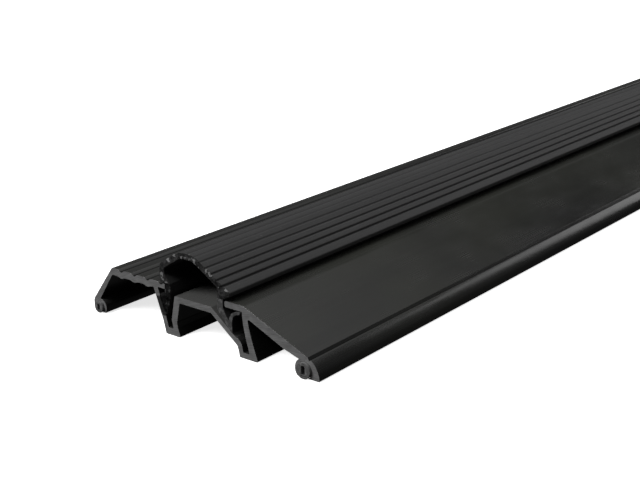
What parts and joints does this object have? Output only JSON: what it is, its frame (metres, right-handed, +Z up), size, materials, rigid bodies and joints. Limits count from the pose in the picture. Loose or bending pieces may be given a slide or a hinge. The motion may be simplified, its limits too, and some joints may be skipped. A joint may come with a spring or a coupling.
{
  "type": "door threshold",
  "caption": "Ribbed and ramped metal door sill with a snap-in soft dome that seals to the door, and tubular floor gaskets under its long edges.",
  "frame": {"origin": "centre of the object's box, on the floor: half way along the sill, half way across its width, at the underside of the screw channels", "axes": "+X across the sill from the ribbed deck to the smooth ramp, +Y along the sill, +Z up"},
  "size_m": [0.0952, 0.9162, 0.0293],
  "materials": {
    "anodised_aluminium": "satin black anodised, bare at the cut ends",
    "soft_vinyl": "matt, finely grooved",
    "stiff_vinyl": "matt",
    "gasket_vinyl": "matt"
  },
  "bodies": {
    "sill": {"sill_extrusion": "anodised_aluminium"},
    "dome_insert": {"barb_leg_ribbed_side": "stiff_vinyl", "barb_leg_smooth_side": "stiff_vinyl", "dome_wall_ribbed_side": "soft_vinyl", "dome_wall_smooth_side": "soft_vinyl"},
    "crown": {"dome_crown": "soft_vinyl"},
    "ribbed_side_gasket": {"edge_gasket_ribbed_side": "gasket_vinyl"},
    "smooth_side_gasket": {"edge_gasket_smooth_side": "gasket_vinyl"}
  },
  "joints": [
    {"name": "insert_slide", "type": "slide", "parent": "sill", "child": "dome_insert", "axis": [0, 1, 0], "range_m": [0, 0.92]},
    {"name": "crown_press", "type": "slide", "parent": "dome_insert", "child": "crown", "axis": [0, 0, -1], "range_m": [0, 0.0035], "stiffness_N_per_m": 8000, "deforming": ["dome_wall_ribbed_side", "dome_wall_smooth_side"]},
    {"name": "ribbed_side_gasket_slide", "type": "slide", "parent": "sill", "child": "ribbed_side_gasket", "axis": [0, 1, 0], "range_m": [0, 0.92]},
    {"name": "smooth_side_gasket_slide", "type": "slide", "parent": "sill", "child": "smooth_side_gasket", "axis": [0, 1, 0], "range_m": [0, 0.92]}
  ]
}
